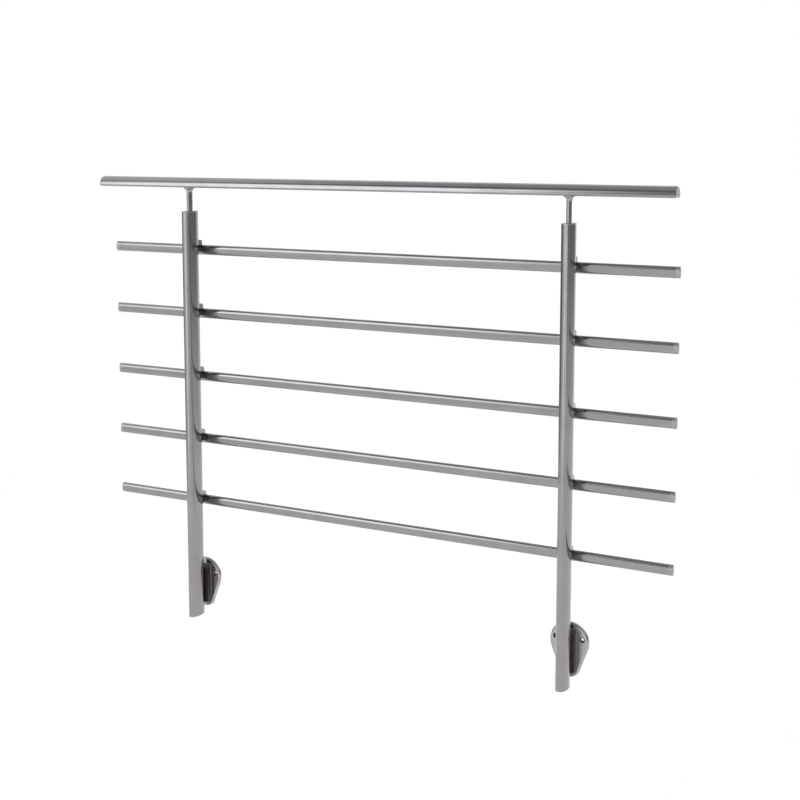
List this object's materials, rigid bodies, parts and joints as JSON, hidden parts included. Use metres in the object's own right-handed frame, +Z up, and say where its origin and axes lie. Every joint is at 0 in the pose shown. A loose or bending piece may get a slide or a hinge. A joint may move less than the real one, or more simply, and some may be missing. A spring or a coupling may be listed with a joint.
{
  "type": "side-mounted aluminium railing",
  "caption": "Side-mounted aluminium railing: oval posts on wall brackets carry horizontal infill rails and a domed handrail.",
  "frame": {"origin": "middle of the upper arc of the left bracket's teardrop plate, on its wall face", "axes": "+X along the rails towards the right post, +Y into the wall, +Z up"},
  "size_m": [1.506, 0.0785, 1.1285],
  "materials": {
    "handrail_aluminium": "polished and anodised, drawn along the length",
    "rail_aluminium": "satin anodised, drawn along the length",
    "post_aluminium": "satin anodised, drawn along the length",
    "cast_aluminium": "cast, tumbled and anodised",
    "end_cap": "grey moulded plug"
  },
  "bodies": {
    "root": {"handrail": "handrail_aluminium", "handrail_cap_left": "end_cap", "handrail_cap_right": "end_cap", "infill_rail_1": "rail_aluminium", "infill_rail_1_cap_left": "end_cap", "infill_rail_1_cap_right": "end_cap", "infill_rail_2": "rail_aluminium", "infill_rail_2_cap_left": "end_cap", "infill_rail_2_cap_right": "end_cap", "infill_rail_3": "rail_aluminium", "infill_rail_3_cap_left": "end_cap", "infill_rail_3_cap_right": "end_cap", "infill_rail_4": "rail_aluminium", "infill_rail_4_cap_left": "end_cap", "infill_rail_4_cap_right": "end_cap", "infill_rail_5": "rail_aluminium", "infill_rail_5_cap_left": "end_cap", "infill_rail_5_cap_right": "end_cap", "post_left": "post_aluminium", "post_top_cap_left": "end_cap", "post_foot_cap_left": "end_cap", "stem_left": "post_aluminium", "saddle_left": "cast_aluminium", "wall_bracket_left": "cast_aluminium", "rail_holder_left_1": "cast_aluminium", "rail_holder_left_2": "cast_aluminium", "rail_holder_left_3": "cast_aluminium", "rail_holder_left_4": "cast_aluminium", "rail_holder_left_5": "cast_aluminium", "post_right": "post_aluminium", "post_top_cap_right": "end_cap", "post_foot_cap_right": "end_cap", "stem_right": "post_aluminium", "saddle_right": "cast_aluminium", "wall_bracket_right": "cast_aluminium", "rail_holder_right_1": "cast_aluminium", "rail_holder_right_2": "cast_aluminium", "rail_holder_right_3": "cast_aluminium", "rail_holder_right_4": "cast_aluminium", "rail_holder_right_5": "cast_aluminium"}
  },
  "joints": []
}
